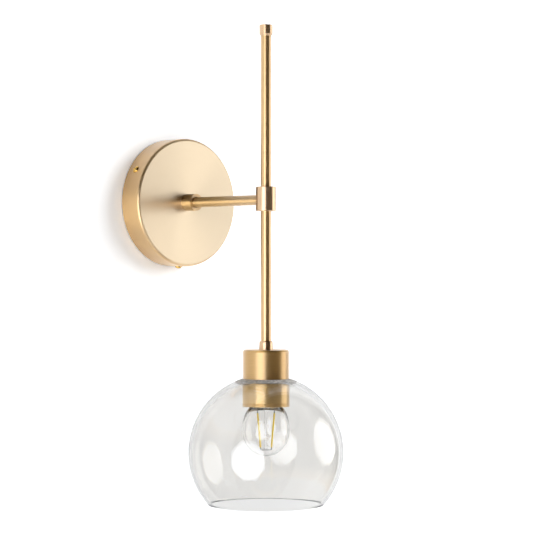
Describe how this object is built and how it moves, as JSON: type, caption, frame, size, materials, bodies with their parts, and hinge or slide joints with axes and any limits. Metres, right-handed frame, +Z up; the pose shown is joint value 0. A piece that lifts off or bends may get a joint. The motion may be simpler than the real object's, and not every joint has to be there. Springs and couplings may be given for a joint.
{
  "type": "globe wall sconce",
  "caption": "Wall light: round canopy, level arm and tee collar carrying an upright tube above and below, lampholder cup, screw ring and clear open globe shade over a golf-ball filament lamp.",
  "frame": {"origin": "centre of the canopy's back, on the wall face, level with the arm", "axes": "+Z up, +Y into the wall, -Y out along the arm, +X to the right for someone facing the wall"},
  "size_m": [0.15, 0.216, 0.4635],
  "materials": {
    "satin_brass": "satin brushed, clear lacquer",
    "polished_brass": "polished",
    "bare_brass": "as turned",
    "zinc_steel": "zinc plated",
    "tinned_copper": "tinned",
    "nickel_cap": "nickel plated",
    "lead_metal": "drawn wire",
    "black_rubber": "matt",
    "clear_silicone": "translucent",
    "black_plastic": "moulded",
    "white_plastic": "moulded",
    "white_ceramic": "glazed",
    "board": "lacquered",
    "phosphor_yellow": "silicone coated",
    "blue_insulation": "extruded",
    "brown_insulation": "extruded",
    "earth_insulation": "extruded, green and yellow",
    "black_glass": "fired",
    "clear_glass": "clear, blown",
    "lamp_glass": "clear, blown"
  },
  "bodies": {
    "fixture": {"wall_bracket": "zinc_steel", "cable_grommet": "black_rubber", "canopy": "satin_brass", "canopy_screws": "polished_brass", "terminal_block": "white_plastic", "terminal_clamps": "bare_brass", "terminal_screws": "zinc_steel", "block_fixing_screw": "zinc_steel", "earth_lug": "tinned_copper", "earth_screw": "zinc_steel", "arm_tube": "satin_brass", "arm_sleeve": "satin_brass", "lock_washer": "zinc_steel", "lock_nut": "zinc_steel", "arm_bush": "black_plastic", "tee_collar": "satin_brass", "upper_rod": "satin_brass", "top_cap": "satin_brass", "lower_rod": "satin_brass", "rod_ferrule": "satin_brass", "lampholder_cup": "satin_brass", "cup_nut": "zinc_steel", "lampholder_cap": "black_plastic", "locking_screw": "zinc_steel", "lampholder_body": "black_plastic", "contact_base": "white_ceramic", "terminal_posts": "bare_brass", "post_screws": "zinc_steel", "centre_contact": "bare_brass", "side_contact": "bare_brass", "screw_shell": "bare_brass", "neutral_wire": "blue_insulation", "live_wire": "brown_insulation", "earth_wire": "earth_insulation"},
    "shade": {"glass_shade": "clear_glass", "shade_washer": "clear_silicone"},
    "ring": {"shade_ring": "satin_brass"},
    "lamp_carrier": {"bulb_tip": "tinned_copper"},
    "lamp": {"bulb_glass": "lamp_glass", "bulb_cap": "nickel_cap", "bulb_insulator": "black_glass", "bulb_driver_board": "board", "bulb_stem": "lamp_glass", "bulb_filaments": "phosphor_yellow", "bulb_filament_ends": "lead_metal", "bulb_lead_wires": "lead_metal", "bulb_cross_wire": "lead_metal"}
  },
  "joints": [
    {"name": "shade_drop", "type": "slide", "parent": "fixture", "child": "shade", "axis": [0, 0, -1], "range_m": [0, 0.008]},
    {"name": "ring_turn", "type": "hinge", "parent": "shade", "child": "ring", "pos_m": [0, -0.141, -0.189], "axis": [0, 0, -1], "range_deg": [0, 1440]},
    {"name": "lamp_drop", "type": "slide", "parent": "fixture", "child": "lamp_carrier", "axis": [0, 0, -1], "range_m": [0, 0.01089]},
    {"name": "lamp_turn", "type": "hinge", "parent": "lamp_carrier", "child": "lamp", "pos_m": [0, -0.141, -0.2], "axis": [0, 0, -1], "range_deg": [0, 1080]}
  ],
  "couplings": [
    {"joint": "ring_turn", "follows": "shade_drop", "rad_per_m": 3141.6},
    {"joint": "lamp_turn", "follows": "lamp_drop", "rad_per_m": 1731.4}
  ]
}
